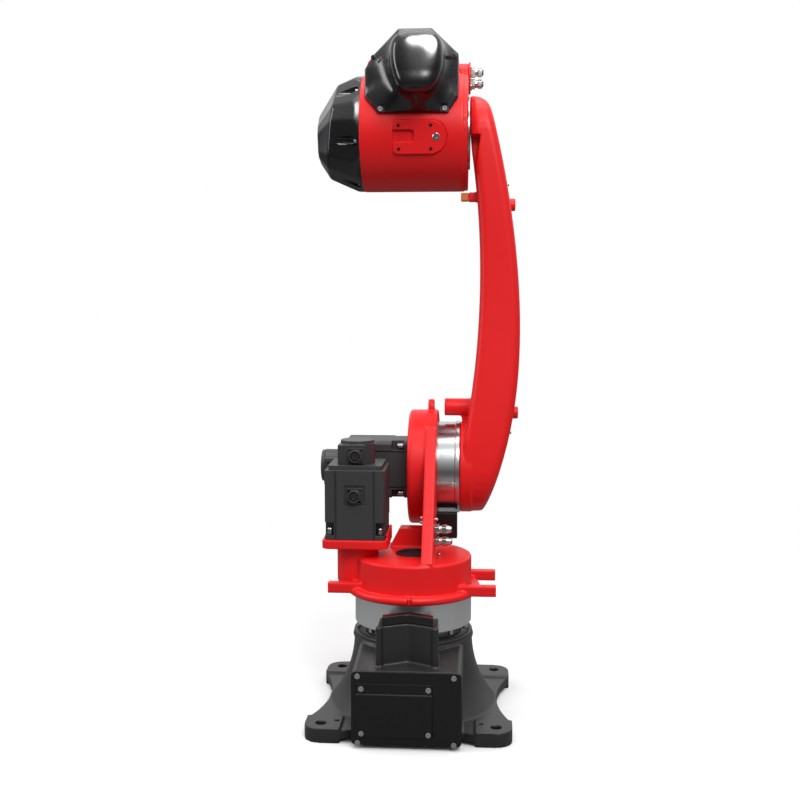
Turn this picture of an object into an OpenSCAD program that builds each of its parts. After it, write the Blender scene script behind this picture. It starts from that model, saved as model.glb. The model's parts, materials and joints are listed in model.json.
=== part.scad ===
// Six-axis industrial robot arm, floor mounted, arm upright and forearm level.
// Millimetres. Z is up, +Y is forward, the origin is on the floor on the swivel axis.

/* [Axes] */
// Height of the shoulder axis above the floor
shoulder_z = 515; // [500:5:550]
// Forward offset of the shoulder axis from the swivel axis
shoulder_y = 170; // [160:5:190]
// Distance from the shoulder axis up to the elbow axis
arm_len = 760; // [700:10:840]
// Rise from the elbow axis to the forearm axis
elbow_rise = 110; // [100:2:124]
// Distance from the elbow axis forward to the wrist axis
forearm_len = 760; // [680:10:860]
// Distance from the wrist axis to the tool face
tool_len = 125; // [118:1:150]
// Running gap between the faces of a turning joint
run_gap = 0.5; // [0.3:0.1:0.8]
// Fitting gap between a piece and the recess that it drops into
fit_gap = 0.3; // [0.2:0.1:0.5]

/* [Base] */
// Spacing of the four anchor holes, both ways
anchor_w = 360; // [350:2:390]
// Anchor hole diameter
anchor_d = 22; // [18:1:26]
// Radius of the foot lobe round each anchor hole
lobe_r = 34; // [30:1:40]
// Thickness of the foot at its lobes
foot_t = 30; // [26:1:36]
// Relief under the foot between its lobes
foot_relief = 8; // [4:1:10]
// Distance from the middle to the hollowed side of the foot
waist_x = 184; // [178:1:190]
// Radius of the pedestal where it meets the foot
flare_r = 182; // [172:1:188]
// Radius of the pedestal's top rim
rim_r = 129; // [124:1:135]
// Height of the pedestal's top rim
rim_z = 184; // [176:1:190]
// Width of the connection box
box_w = 222; // [200:2:236]
// Height of the connection box at its cover
box_z = 160; // [152:1:168]
// Distance from the swivel axis to the outside of the box cover
box_y = 238; // [234:1:250]
// Slope of the box roof in degrees
roof_slope = 4; // [2:1:8]
// Thickness of the box cover
cover_t = 5; // [4:1:8]
// Spacing of the two locating holes in the foot
dowel_w = 296; // [286:2:306]
// Locating hole diameter
dowel_d = 10; // [8:1:12]

/* [Swivel] */
// Radius of the swivel reducer case
ring_r = 127; // [122:1:132]
// Height of the underside of the reducer case
ring_z = 204; // [200:1:210]
// Radius of the fixed output disc under the reducer case
output_r = 98; // [90:1:104]
// Radius of the turret flange
flange_r = 146; // [140:1:150]
// Height of the underside of the turret flange
flange_z = 267; // [262:1:272]
// Height of the rounded bead along the turret flange's rim
flange_t = 18; // [15:1:20]
// Height of the turret drum's top
drum_z = 348; // [340:1:356]
// Radius of the cable passage in the drum's top
passage_r = 38; // [34:1:44]
// Length from the swivel axis to the end of a side lug
lug_l = 180; // [170:1:190]
// Width of a side lug
lug_w = 22; // [18:1:26]

/* [Shoulder] */
// Left face of the shoulder housing
housing_x0 = -18; // [-26:1:-12]
// Right face of the shoulder housing and its web
housing_x1 = 47.5; // [44:0.5:52]
// Radius of the shoulder housing
housing_r = 132; // [126:1:136]
// Thickness of the shoulder web
web_t = 25; // [20:1:30]
// Radius of the shoulder reducer
shoulder_ring_r = 104; // [98:1:108]
// Length of the shoulder reducer
shoulder_ring_t = 50.8; // [46:0.2:56]

/* [Motors] */
// Flange size of the swivel motor
motor1_w = 130; // [124:1:136]
// Body length of the swivel motor
motor1_l = 160; // [150:1:176]
// Swivel motor axis, left of the swivel axis
motor1_x = 122; // [116:1:128]
// Swivel motor axis, behind the swivel axis
motor1_y = 0; // [-8:1:20]
// Height of the swivel motor's mounting face
motor1_z = 388; // [380:1:396]
// Flange size of the shoulder motor
motor2_w = 130; // [120:1:140]
// Body length of the shoulder motor
motor2_l = 155; // [140:1:170]
// Size of the encoder housings
encoder_w = 78; // [70:1:86]
// Length of the encoder housings
encoder_l = 50; // [44:1:56]

/* [Lower arm] */
// Radius of the arm's shoulder hub
hub_r = 102; // [98:1:106]
// Radius of the arm's elbow end
tip_r = 82; // [76:1:88]
// Outer face of the arm at the shoulder axis
arm_out_low = 188; // [182:1:194]
// Outer face of the arm at the elbow axis
arm_out_top = 176; // [168:1:182]
// Outer face of the arm where it bows out most
arm_out_max = 232; // [224:1:238]
// Inner face of the arm at the shoulder axis, behind the hub
arm_in_low = 94; // [90:1:98]
// Inner face of the arm at the elbow axis
arm_in_top = 116; // [110:1:118]
// Outward bow of the arm's inner face
arm_in_bow = 36; // [30:1:42]
// How far the arm's front and back draw in at mid length
arm_waist = 14; // [6:1:20]
// Corner radius of the arm's section
arm_corner = 18; // [12:1:24]

/* [Elbow] */
// Radius of the elbow barrel
barrel_r = 129; // [124:1:132]
// Left end of the elbow barrel
barrel_x0 = -122; // [-130:1:-116]
// Right end of the elbow barrel
barrel_x1 = 104; // [100:1:108]
// Width of the groove between the barrel and its end flange
elbow_groove = 3; // [2:0.5:5]
// Thickness of the barrel's end flange
elbow_flange_t = 6; // [4:0.5:8]
// Length of the side cover
side_cover_l = 102; // [96:1:112]
// Radius of the forearm bearing housing
roll_r = 92; // [86:1:96]
// Length of the bearing housing in front of the barrel
roll_nose = 6; // [3:1:24]
// Distance behind the elbow axis of the rear cover's seat
cover_seat = 108; // [100:1:116]
// Depth of the rear cover
rear_cover_l = 128; // [116:1:140]

/* [Forearm] */
// Radius of the forearm's rear flange
fore_flange_r = 86; // [80:1:90]
// Half width of the forearm at the fork
fork_x = 66; // [60:1:72]
// Half height of the fork arms
fork_r = 50; // [46:1:56]
// Thickness of a fork arm
fork_t = 22; // [18:1:26]
// Length of the fork's gap behind the wrist axis
fork_slot_l = 90; // [86:1:100]
// Radius of the wrist pivots
pivot_r = 25; // [20:1:28]
// Radius of the tool flange
tool_r = 31.5; // [31:0.5:36]
// Bolt circle of the tool flange
tool_pcd = 50; // [48:1:50]
// Tool bolt hole diameter
tool_hole_d = 6; // [5:0.5:7]
// Pilot recess diameter in the tool face
pilot_d = 31.5; // [28:0.5:34]

/* [Hidden] */
$fn = 64;
red = "#d8201f";
black = "#262628";
gloss_black = "#1b1b1d";
steel = "#b9bcc0";
chrome = "#d5d8dc";
orange = "#c9641f";
over = 1;

elbow_z = shoulder_z + arm_len;
roll_z = elbow_z + elbow_rise;
wrist_y = shoulder_y + forearm_len;
arm_x0 = housing_x1 + shoulder_ring_t + run_gap;
elbow_ring_t = 4.5;
elbow_ring_r = 80;
elbow_face_x = barrel_x1 + elbow_groove + elbow_flange_t;
arm_x1 = elbow_face_x + elbow_ring_t + run_gap;
roll_y0 = shoulder_y - cover_seat;
roll_y1 = shoulder_y + barrel_r + roll_nose;
roll_ring_t = 18;
fore_y0 = roll_y1 + roll_ring_t + run_gap;
motor2_x = housing_x0;

// Round bar from x0 to x1 about an axis along X
module rod_x(x0, x1, y, z, r) {
    translate([x0, y, z]) rotate([0, 90, 0]) cylinder(r = r, h = x1 - x0);
}

// Round bar from y0 to y1 about an axis along Y
module rod_y(y0, y1, x, z, r) {
    translate([x, y1, z]) rotate([90, 0, 0]) cylinder(r = r, h = y1 - y0);
}

// Outline drawn in (Y, Z), given a thickness from x0 to x1
module slab_x(x0, x1) {
    translate([x0, 0, 0]) rotate([90, 0, 90]) linear_extrude(x1 - x0) children();
}

// Outline drawn in (X, Z), given a thickness from y0 to y1
module slab_y(y0, y1) {
    translate([0, y1, 0]) rotate([90, 0, 0]) linear_extrude(y1 - y0) children();
}

// Rectangle with round corners, centred
module round_rect(w, h, r) {
    square([w - 2 * r, h], center = true);
    square([w, h - 2 * r], center = true);
    for (sx = [-1, 1], sy = [-1, 1])
        translate([sx * (w / 2 - r), sy * (h / 2 - r)]) circle(r);
}

// Closed skin through a list of rings that have the same number of points
module loft(rings) {
    n = len(rings[0]);
    m = len(rings);
    walls = [for (i = [0 : m - 2], j = [0 : n - 1], half = [0, 1])
        let (a = i * n + j, b = i * n + (j + 1) % n)
        half == 0 ? [a, a + n, b] : [b, a + n, b + n]];
    caps = [[for (j = [0 : n - 1]) j], [for (j = [n - 1 : -1 : 0]) (m - 1) * n + j]];
    polyhedron(points = [for (ring = rings, p = ring) p], faces = concat(walls, caps));
}

// Points of a rectangle with round corners, counter-clockwise
corner_steps = 5;
function round_ring(x0, x1, y0, y1, r) = [
    for (q = [0 : 3], k = [0 : corner_steps])
        let (a = q * 90 + k * 90 / corner_steps,
            cx = (q == 0 || q == 3) ? x1 - r : x0 + r,
            cy = q < 2 ? y1 - r : y0 + r)
        [cx + r * cos(a), cy + r * sin(a)]
];

// Base: foot, flared pedestal, connection box and stop pillar
waist_r = 340;
pad_edge = 42;
web_drop = 4;
flare_sink = 2;
throat_drop = 12;
bead = 3;
bead_out = 1;
second_bead = 12;
trough_r0 = 104;
trough_r1 = 120;
trough_d = 8;
box_corner = 10;
box_overrun = 30;
pillar_w = 128;
pillar_y = 214;
pillar_vee = 26;
pillar_clear = 9;
pillar_z = 243;
pillar_fillet = 16;
fillet_steps = 4;
pillar_sink = 20;
post_r = 7;
dowel_y = 165;

module foot_outline() {
    edge = anchor_w + 2 * lobe_r;
    difference() {
        round_rect(edge, edge, lobe_r);
        for (a = [0 : 90 : 270])
            rotate(a) translate([waist_x + waist_r, 0]) circle(waist_r);
    }
}

module foot() {
    pad = anchor_w / 2 - pad_edge;
    translate([0, 0, foot_relief])
        linear_extrude(foot_t - web_drop - foot_relief) foot_outline();
    linear_extrude(foot_t) intersection() {
        foot_outline();
        for (sx = [-1, 1], sy = [-1, 1])
            translate([sx > 0 ? pad : -pad - flare_r, sy > 0 ? pad : -pad - flare_r])
                square(flare_r);
    }
}

module pedestal() {
    foot_top = foot_t - web_drop;
    throat_z = rim_z - throat_drop;
    rise = throat_z - foot_top;
    step = flare_r - rim_r;
    flare_arc = (step * step + rise * rise) / (2 * step);
    difference() {
        rotate_extrude($fn = 128) {
            difference() {
                translate([0, foot_top - flare_sink]) square([flare_r, rise + flare_sink]);
                translate([rim_r + flare_arc, throat_z]) circle(flare_arc, $fn = 256);
            }
            translate([0, throat_z]) square([rim_r, throat_drop]);
            translate([rim_r - bead, rim_z - bead]) circle(bead + bead_out);
            translate([rim_r - bead_out, rim_z - second_bead]) circle(bead + bead_out);
        }
        translate([0, 0, rim_z - trough_d]) difference() {
            cylinder(r = trough_r1, h = 3 * trough_d);
            cylinder(r = trough_r0, h = 3 * trough_d);
        }
    }
}

module box_outline() {
    translate([0, (box_z + foot_relief) / 2])
        round_rect(box_w, box_z - foot_relief, box_corner);
}

module connection_box() {
    seat = box_y - cover_t;
    intersection() {
        translate([0, -seat, box_z]) rotate([roof_slope, 0, 0]) translate([0, 0, -box_z])
            slab_y(-box_overrun, seat) box_outline();
        translate([-box_w / 2, -seat, foot_relief])
            cube([box_w, seat, rim_z - foot_relief]);
    }
}

// Line across the back of the pillar: a vee with a round valley
function vee_line(half, y_back) =
    let (a = atan2(pillar_vee, half), cy = pillar_vee - y_back - pillar_fillet / cos(a))
    concat([[-half, -y_back]],
        [for (k = [-fillet_steps : fillet_steps])
            [pillar_fillet * sin(a * k / fillet_steps), cy + pillar_fillet * cos(a * k / fillet_steps)]],
        [[half, -y_back]]);

module stop_pillar() {
    half = pillar_w / 2;
    tall = pillar_z - box_z + pillar_sink;
    translate([0, 0, box_z - pillar_sink]) {
        linear_extrude(tall) polygon(concat(vee_line(half - post_r / 2, pillar_y - post_r / 2),
            [[half - post_r / 2, -rim_r - pillar_clear], [post_r / 2 - half, -rim_r - pillar_clear]]));
        for (s = [-1, 1])
            translate([s * (half - post_r), -pillar_y + post_r]) cylinder(r = post_r, h = tall);
    }
}

module base_casting() {
    color(black) difference() {
        union() {
            foot();
            pedestal();
            connection_box();
            stop_pillar();
        }
        for (sx = [-1, 1], sy = [-1, 1])
            translate([sx * anchor_w / 2, sy * anchor_w / 2, -over])
                cylinder(d = anchor_d, h = foot_t + 2 * over);
        for (s = [-1, 1])
            translate([s * dowel_w / 2, -dowel_y, -over])
                cylinder(d = dowel_d, h = foot_t + 2 * over);
    }
}

module box_cover() {
    color(gloss_black) slab_y(-box_y, cover_t - box_y) box_outline();
}

// Blanking panel for the cable connectors, with a thinner top strip
panel_edge = 10;
panel_w = 154;
panel_z0 = 26;
panel_z1 = 136;
panel_step_z = 114;
panel_t = 4;
strip_t = 1.5;
module connector_panel() {
    color(black) translate([panel_edge - box_w / 2, -box_y, 0]) {
        translate([0, -panel_t, panel_z0]) cube([panel_w, panel_t, panel_step_z - panel_z0]);
        translate([0, -strip_t, panel_step_z]) cube([panel_w, strip_t, panel_z1 - panel_step_z]);
    }
}

// Chevron stop block on the pillar, narrower than the pillar and just under the turret flange
stop_inset = 12;
stop_back = 11;
stop_t = 22;
stop_clear = 6;
module swivel_stop() {
    rear = vee_line(pillar_w / 2 - stop_inset, pillar_y - stop_back);
    color(gloss_black) translate([0, 0, pillar_z])
        linear_extrude(flange_z - stop_clear - pillar_z)
            polygon(concat(rear, [for (k = [len(rear) - 1 : -1 : 0]) rear[k] + [0, stop_t]]));
}

module swivel_output() {
    color(steel) translate([0, 0, rim_z]) cylinder(r = output_r, h = ring_z - run_gap - rim_z);
}

// Turret: flange with a rim bead, drum, lugs, motor bracket and shoulder web
module swivel_reducer() {
    color(steel) translate([0, 0, ring_z])
        cylinder(r = ring_r, h = flange_z - ring_z, $fn = 128);
}

gutter_t = 11;
drum_round = 6;
module turret_drum() {
    rim_bead = flange_t / 2;
    translate([0, 0, flange_z]) rotate_extrude($fn = 128) {
        square([flange_r - rim_bead, gutter_t]);
        translate([flange_r - rim_bead, rim_bead]) circle(rim_bead);
        square([ring_r - drum_round, drum_z - flange_z]);
        square([ring_r, drum_z - flange_z - drum_round]);
        translate([ring_r - drum_round, drum_z - flange_z - drum_round]) circle(drum_round);
    }
}

lug_left_y = 60;
lug_right_y = 70;
lug_lift = 7;
module turret_lugs() {
    for (lug = [[-1, -lug_left_y], [1, -lug_right_y], [1, lug_right_y]])
        translate([lug[0] < 0 ? -lug_l : 0, lug[1] - lug_w / 2, flange_z + lug_lift])
            cube([lug_l, lug_w, lug_w]);
}

motor_plate_t = 19;
motor_plate_edge = 6;
motor_plate_round = 16;
motor_lip_t = 5;
motor_lip_h = 12;
column_r = 45;
column_round = 10;
column_sink = 4;
column_web = 76;
web_top_drop = 9;
module motor_bracket() {
    base = flange_z + flange_t - column_sink;
    plate_w = motor1_w + 2 * motor_plate_edge;
    plate_z = motor1_z - motor_plate_t;
    tall = plate_z + motor_plate_t / 2 - base;
    reach = norm([motor1_x, motor1_y]);
    translate([-motor1_x, -motor1_y, 0]) {
        translate([0, 0, plate_z]) linear_extrude(motor_plate_t)
            round_rect(plate_w, plate_w, motor_plate_round);
        translate([plate_w / 2 - motor_lip_t, motor_plate_round - plate_w / 2, plate_z])
            cube([motor_lip_t, plate_w - 2 * motor_plate_round, motor_plate_t + motor_lip_h]);
        translate([0, 0, base]) rotate_extrude() {
            square([column_r - column_round, tall]);
            translate([0, column_round]) square([column_r, tall - column_round]);
            translate([column_r - column_round, column_round]) circle(column_round);
        }
    }
    rotate(atan2(motor1_y, motor1_x)) translate([-reach, -column_web / 2, base])
        cube([reach, column_web, drum_z - web_top_drop - base]);
}

rib_foot_y = 118;
rib_foot_h = 4;
rib_sink = 10;
rib_head_y = 104;
rib_flat_y = 70;
rib_head_z = 97;
rib_top_z = 107;
web_front_y = 113;
web_front_z = 55;
web_base_in = 6;
web_base_z = 30;
module web_outline() {
    translate([shoulder_y, shoulder_z]) circle(housing_r, $fn = 128);
    polygon([[-rib_foot_y, drum_z - rib_sink], [-rib_foot_y, drum_z + rib_foot_h],
        [shoulder_y - rib_head_y, shoulder_z + rib_head_z],
        [shoulder_y - rib_flat_y, shoulder_z + rib_top_z],
        [shoulder_y, shoulder_z + rib_top_z],
        [shoulder_y + web_front_y, shoulder_z - web_front_z],
        [ring_r - web_base_in, drum_z - web_base_z]]);
}

housing_round = 8;
module shoulder_housing() {
    wide = housing_x1 - housing_x0;
    translate([housing_x0, shoulder_y, shoulder_z]) rotate([0, 90, 0]) rotate_extrude($fn = 128) {
        square([housing_r - housing_round, wide]);
        translate([0, housing_round]) square([housing_r, wide - housing_round]);
        translate([housing_r - housing_round, housing_round]) circle(housing_round);
    }
}

gusset_y0 = 56;
gusset_in = 27;
gusset_foot = 36;
gusset_head = 16;
gusset_foot_h = 4;
gusset_h = 42;
module shoulder_gusset() {
    foot_x = housing_x0 - gusset_foot;
    slab_y(gusset_y0, ring_r - gusset_in) polygon([
        [foot_x, drum_z - rib_sink], [foot_x, drum_z + gusset_foot_h],
        [housing_x0 - gusset_head, drum_z + gusset_h], [housing_x1 - over, drum_z + gusset_h],
        [housing_x1 - over, drum_z - rib_sink]]);
}

lift_t = 14;
lift_r = 18;
lift_hole_r = 7;
lift_rise = 7;
lift_sink = 12;
lift_inset = 2;
module lift_lug() {
    x0 = housing_x1 - web_t + lift_inset;
    top = shoulder_z + housing_r;
    slab_x(x0, x0 + lift_t) difference() {
        union() {
            translate([shoulder_y - lift_r, top - lift_sink])
                square([2 * lift_r, lift_sink + lift_rise]);
            translate([shoulder_y, top + lift_rise]) circle(lift_r);
        }
        translate([shoulder_y, top + lift_rise]) circle(lift_hole_r);
    }
}

mark_w = 8;
mark_d = 4;
module turret() {
    color(red) difference() {
        union() {
            turret_drum();
            turret_lugs();
            motor_bracket();
            slab_x(housing_x1 - web_t, housing_x1) web_outline();
            shoulder_housing();
            shoulder_gusset();
            lift_lug();
        }
        translate([0, 0, drum_z - cap_depth]) cylinder(r = passage_r, h = 2 * cap_depth);
        translate([-mark_w / 2, -flange_r - over, flange_z - over])
            cube([mark_w, mark_d + over, flange_t + 2 * over]);
    }
}

// Rubber cap that closes the cable passage
cap_depth = 14;
cap_proud = 2;
cap_rim = 6;
cap_dish = 5;
module cable_cap() {
    color(black) translate([0, 0, drum_z - cap_depth]) difference() {
        cylinder(r = passage_r - fit_gap, h = cap_depth + cap_proud);
        translate([0, 0, cap_depth + cap_proud - cap_dish])
            cylinder(r = passage_r - cap_rim, h = 2 * cap_dish);
    }
}

// Servo motors: square body with grooved corner columns, cut away over the flange for its screws
motor_corner = 9;
motor_column = 24;
groove_w = 4;
groove_d = 4;
motor_flange_t = 10;
screw_bay = 20;
screw_bay_h = 28;
motor_step_h = 10;
motor_step_in = 7;
module motor_section(w) {
    difference() {
        round_rect(w, w, motor_corner);
        for (a = [0 : 90 : 270], s = [-1, 1])
            rotate(a) translate([w / 2, s * (w / 2 - motor_column)])
                square([2 * groove_d, groove_w], center = true);
    }
}

module motor_body(w, l, socket_at) {
    top_w = w - 2 * motor_step_in;
    difference() {
        union() {
            linear_extrude(l - motor_step_h) motor_section(w);
            translate([0, 0, l - motor_step_h]) linear_extrude(motor_step_h)
                round_rect(top_w, top_w, motor_corner);
        }
        for (sx = [-1, 1], sy = [-1, 1])
            translate([sx * w / 2, sy * w / 2, motor_flange_t + screw_bay_h / 2])
                cube([2 * screw_bay, 2 * screw_bay, screw_bay_h], center = true);
        translate([0, -w / 2, socket_at])
            cube([socket_bay, 2 * socket_bay_d, socket_bay], center = true);
    }
}

// Encoder housing: a round can with a square connector shoulder and a round lid
shoulder_w = 60;
can_in = 1;
lid_h = 8;
lid_in = 2.5;
module encoder_body() {
    linear_extrude(encoder_l - lid_h) {
        circle(d = encoder_w - 2 * can_in);
        translate([-encoder_w / 2, -encoder_w / 2]) square([shoulder_w, encoder_w / 2]);
    }
    translate([0, 0, encoder_l - lid_h]) cylinder(d = encoder_w - 2 * lid_in, h = lid_h);
}

// Round socket on a square base; the motor's own stands in a shallow bay
socket_w = 34;
socket_corner = 3;
socket_base = 4;
socket_r = 13;
socket_wall = 2.5;
socket_h = 12;
socket_bay = 44;
socket_bay_d = 3;
motor1_socket = 96;
motor2_socket = 93;
encoder_socket = 19;
module socket() {
    linear_extrude(socket_base) round_rect(socket_w, socket_w, socket_corner);
    translate([0, 0, socket_base]) difference() {
        cylinder(r = socket_r, h = socket_h);
        translate([0, 0, socket_base]) cylinder(r = socket_r - socket_wall, h = socket_h);
    }
}

module socket_pair(w, l, socket_at) {
    translate([0, socket_bay_d - w / 2, socket_at]) rotate([90, 0, 0]) socket();
    translate([0, -encoder_w / 2, l + encoder_socket]) rotate([90, 0, 0]) socket();
}

module at_motor1() {
    translate([-motor1_x, -motor1_y, motor1_z]) children();
}

module at_motor2() {
    translate([motor2_x, shoulder_y, shoulder_z]) rotate([0, -90, 0]) children();
}

module swivel_motor() {
    color(black) at_motor1() motor_body(motor1_w, motor1_l, motor1_socket);
}

module swivel_encoder() {
    color(black) at_motor1() translate([0, 0, motor1_l]) encoder_body();
}

module swivel_sockets() {
    color(black) at_motor1() socket_pair(motor1_w, motor1_l, motor1_socket);
}

module shoulder_motor() {
    color(black) at_motor2() motor_body(motor2_w, motor2_l, motor2_socket);
}

module shoulder_encoder() {
    color(black) at_motor2() translate([0, 0, motor2_l]) encoder_body();
}

module shoulder_sockets() {
    color(black) at_motor2() socket_pair(motor2_w, motor2_l, motor2_socket);
}

shoulder_lip_t = 10;
shoulder_lip = 2;
module shoulder_reducer() {
    x1 = housing_x1 + shoulder_ring_t;
    color(steel) {
        rod_x(housing_x1, x1 - shoulder_lip_t, shoulder_y, shoulder_z, shoulder_ring_r, $fn = 128);
        rod_x(x1 - shoulder_lip_t, x1, shoulder_y, shoulder_z, shoulder_ring_r + shoulder_lip,
            $fn = 128);
    }
}

// Bumper block under the shoulder reducer that the arm's stop boss meets past its working range
block_w = 46;
block_h = 58;
block_drop = 96;
block_y0 = 75;
block_y1 = 50;
module shoulder_stop() {
    color(black) translate([housing_x1, shoulder_y - block_y0, shoulder_z - block_drop - block_h])
        cube([block_w, block_y0 - block_y1, block_h]);
}

// Cable gland along +Z: lower hexagon, body, hexagon of the clamping nut and its cone
gland_r = 10;
gland_hex_r = 12;
gland_body_r = 8.5;
gland_nut_r = 11;
gland_hex_h = 10;
gland_neck_h = 7;
gland_nut_h = 9;
gland_cone_in = 3;
module gland(l) {
    nut_z = gland_hex_h + gland_neck_h;
    cone_z = nut_z + gland_nut_h;
    cylinder(r = gland_hex_r, h = gland_hex_h, $fn = 6);
    cylinder(r = gland_body_r, h = nut_z + over);
    translate([0, 0, nut_z]) cylinder(r = gland_nut_r, h = gland_nut_h, $fn = 6);
    translate([0, 0, cone_z])
        cylinder(r1 = gland_r - over, r2 = gland_r - gland_cone_in, h = l - cone_z);
}

turret_gland_l = 37;
turret_gland_y = 40;
turret_gland_z = 36;
gland_pitch = 26;
module turret_glands() {
    color(chrome) for (k = [0, 1])
        translate([housing_x1, -turret_gland_y, drum_z + turret_gland_z + k * gland_pitch])
            rotate([0, 90, 0]) gland(turret_gland_l);
}

// Lower arm: one bowed casting with a hub at the shoulder and bosses for stops and hose clips
function along(z) = (z - shoulder_z) / arm_len;
arm_peak = 0.42;
arm_low_power = 2.25;
arm_top_power = 1.85;
tip_slant = 29;
tip_power = 8;
function bow(low, top, rise, t) = low + (top - low) * t + 4 * rise * t * (1 - t);
function arm_outer(z) =
    let (t = along(z), far = (t - arm_peak) / (1 - arm_peak), over = max(0, z - elbow_z) / tip_r)
    t < arm_peak ? arm_out_max - (arm_out_max - arm_out_low) * pow(1 - t / arm_peak, arm_low_power)
    : arm_out_max - (arm_out_max - arm_out_top) * pow(far, arm_top_power)
        - tip_slant * pow(over, tip_power);
function arm_inner(z) =
    let (face = bow(arm_in_low, arm_in_top, arm_in_bow, along(z)))
    max(face, along(z) > 0.5 ? arm_x1 : arm_x0);
function end_half(r, h) = sqrt(max(0, r * r - h * h));
function arm_half(z) =
    let (t = along(z), taper = hub_r + (tip_r - hub_r) * t,
        draw = 16 * arm_waist * pow(t * (1 - t), 2))
    t < 0 ? end_half(hub_r, z - shoulder_z) : t > 1 ? end_half(tip_r, z - elbow_z) : taper - draw;

end_steps = 8;
mid_steps = 24;
end_angle = 88;
arm_levels = concat(
    [for (k = [0 : end_steps - 1]) shoulder_z - hub_r * sin(end_angle * (1 - k / end_steps))],
    [for (k = [0 : mid_steps]) shoulder_z + arm_len * k / mid_steps],
    [for (k = [1 : end_steps]) elbow_z + tip_r * sin(end_angle * k / end_steps)]);

function arm_ring(z) =
    let (x0 = arm_inner(z), x1 = arm_outer(z), w = arm_half(z),
        r = min(arm_corner, w * 0.9, (x1 - x0) * 0.45))
    [for (p = round_ring(x0, x1, shoulder_y - w, shoulder_y + w, r)) [p[0], p[1], z]];

stop_boss_r = 20;
stop_boss_rise = 139;
stop_boss_gap = 14.5;
boss_sink = 12;
boss_web_t = 16;
boss_web_x = 20;
boss_web_slant = 6;
peg_r = 14;
peg_l = 13;
peg_sink = 20;
low_peg_rise = 127;
high_peg_drop = 160;
module arm_bosses() {
    boss_z = shoulder_z + stop_boss_rise;
    web_z = shoulder_z + hub_r - boss_sink;
    rod_x(housing_x1 + stop_boss_gap, arm_inner(boss_z) + boss_sink, shoulder_y, boss_z,
        stop_boss_r);
    slab_y(shoulder_y - boss_web_t / 2, shoulder_y + boss_web_t / 2) polygon([
        [arm_x0 - over, boss_z], [arm_x0 + boss_web_x, boss_z], [arm_x0 + boss_web_x, web_z],
        [arm_x0 + boss_web_slant, web_z]]);
    for (z = [shoulder_z + low_peg_rise, elbow_z - high_peg_drop])
        rod_x(arm_outer(z) - peg_sink, arm_outer(z) + peg_l, shoulder_y, z, peg_r);
}

// Stop lug under the barrel, with a rubber bumper on its end
lug_gap = 6;
stop_lug_h = 20;
stop_lug_l = 30;
stop_lug_x = 3;
stop_lug_y = 45;
bumper_clear = 5;
bumper_in = 1;
bumper_y = 3;
module arm_stop() {
    translate([arm_x1 - stop_lug_x, shoulder_y - stop_lug_y, elbow_z - barrel_r - lug_gap - stop_lug_h])
        cube([stop_lug_l, stop_lug_l, stop_lug_h]);
}

module elbow_bumper() {
    x0 = seat_shift + seat_right + bumper_clear;
    color(orange) translate([x0, shoulder_y - stop_lug_y + bumper_y,
        elbow_z - barrel_r - lug_gap - stop_lug_h + bumper_in])
        cube([arm_x1 - stop_lug_x - x0, stop_lug_l - 2 * bumper_y, stop_lug_h - 2 * bumper_in]);
}

// Relief in the arm's inner rear edge, under a ledge beside the elbow axis
relief_drop = 130;
relief_knee = 75;
relief_ledge = 13;
relief_knee_x = 14;
relief_x = 23;
relief_y = 45;
module arm_relief() {
    slab_y(shoulder_y - 2 * tip_r, shoulder_y - relief_y) polygon([
        [arm_x1 - over, elbow_z - relief_drop], [arm_x1 + relief_knee_x, elbow_z - relief_knee],
        [arm_x1 + relief_x, elbow_z - relief_ledge], [arm_x1 - over, elbow_z - relief_ledge]]);
}

hub_t = 26;
hub_lip = 2;
hub_floor = 40;
hub_pocket_r = 62;
tip_floor = 22;
tip_pocket_r = 50;
module lower_arm() {
    color(red) difference() {
        union() {
            loft([for (z = arm_levels) arm_ring(z)]);
            rod_x(arm_x0, arm_x0 + hub_t, shoulder_y, shoulder_z, hub_r + hub_lip, $fn = 128);
            arm_bosses();
            arm_stop();
        }
        arm_relief();
        rod_x(arm_x0 + hub_floor, arm_out_max, shoulder_y, shoulder_z, hub_pocket_r);
        rod_x(arm_x1 + tip_floor, arm_out_max, shoulder_y, elbow_z, tip_pocket_r);
    }
}

// Outline that the elbow housing's back and the rear cover share, about the forearm axis
seat_shift = -7;
seat_top = 97;
seat_low = 83;
seat_left = 103;
seat_right = 100;
top_left = 30;
top_right = 42;
shoulder_right = 42;
hip_right = 50;
low_right = 79;
low_left = 72;
hip_left = 45;
waist_left = 12;
knuckle = [-86, 40];
seat_points = [[-top_left, seat_top], knuckle, [-seat_left, waist_left], [-seat_left, -hip_left],
    [-low_left, -seat_low], [low_right, -seat_low], [seat_right, -hip_right],
    [seat_right, shoulder_right], [top_right, seat_top]];

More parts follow.
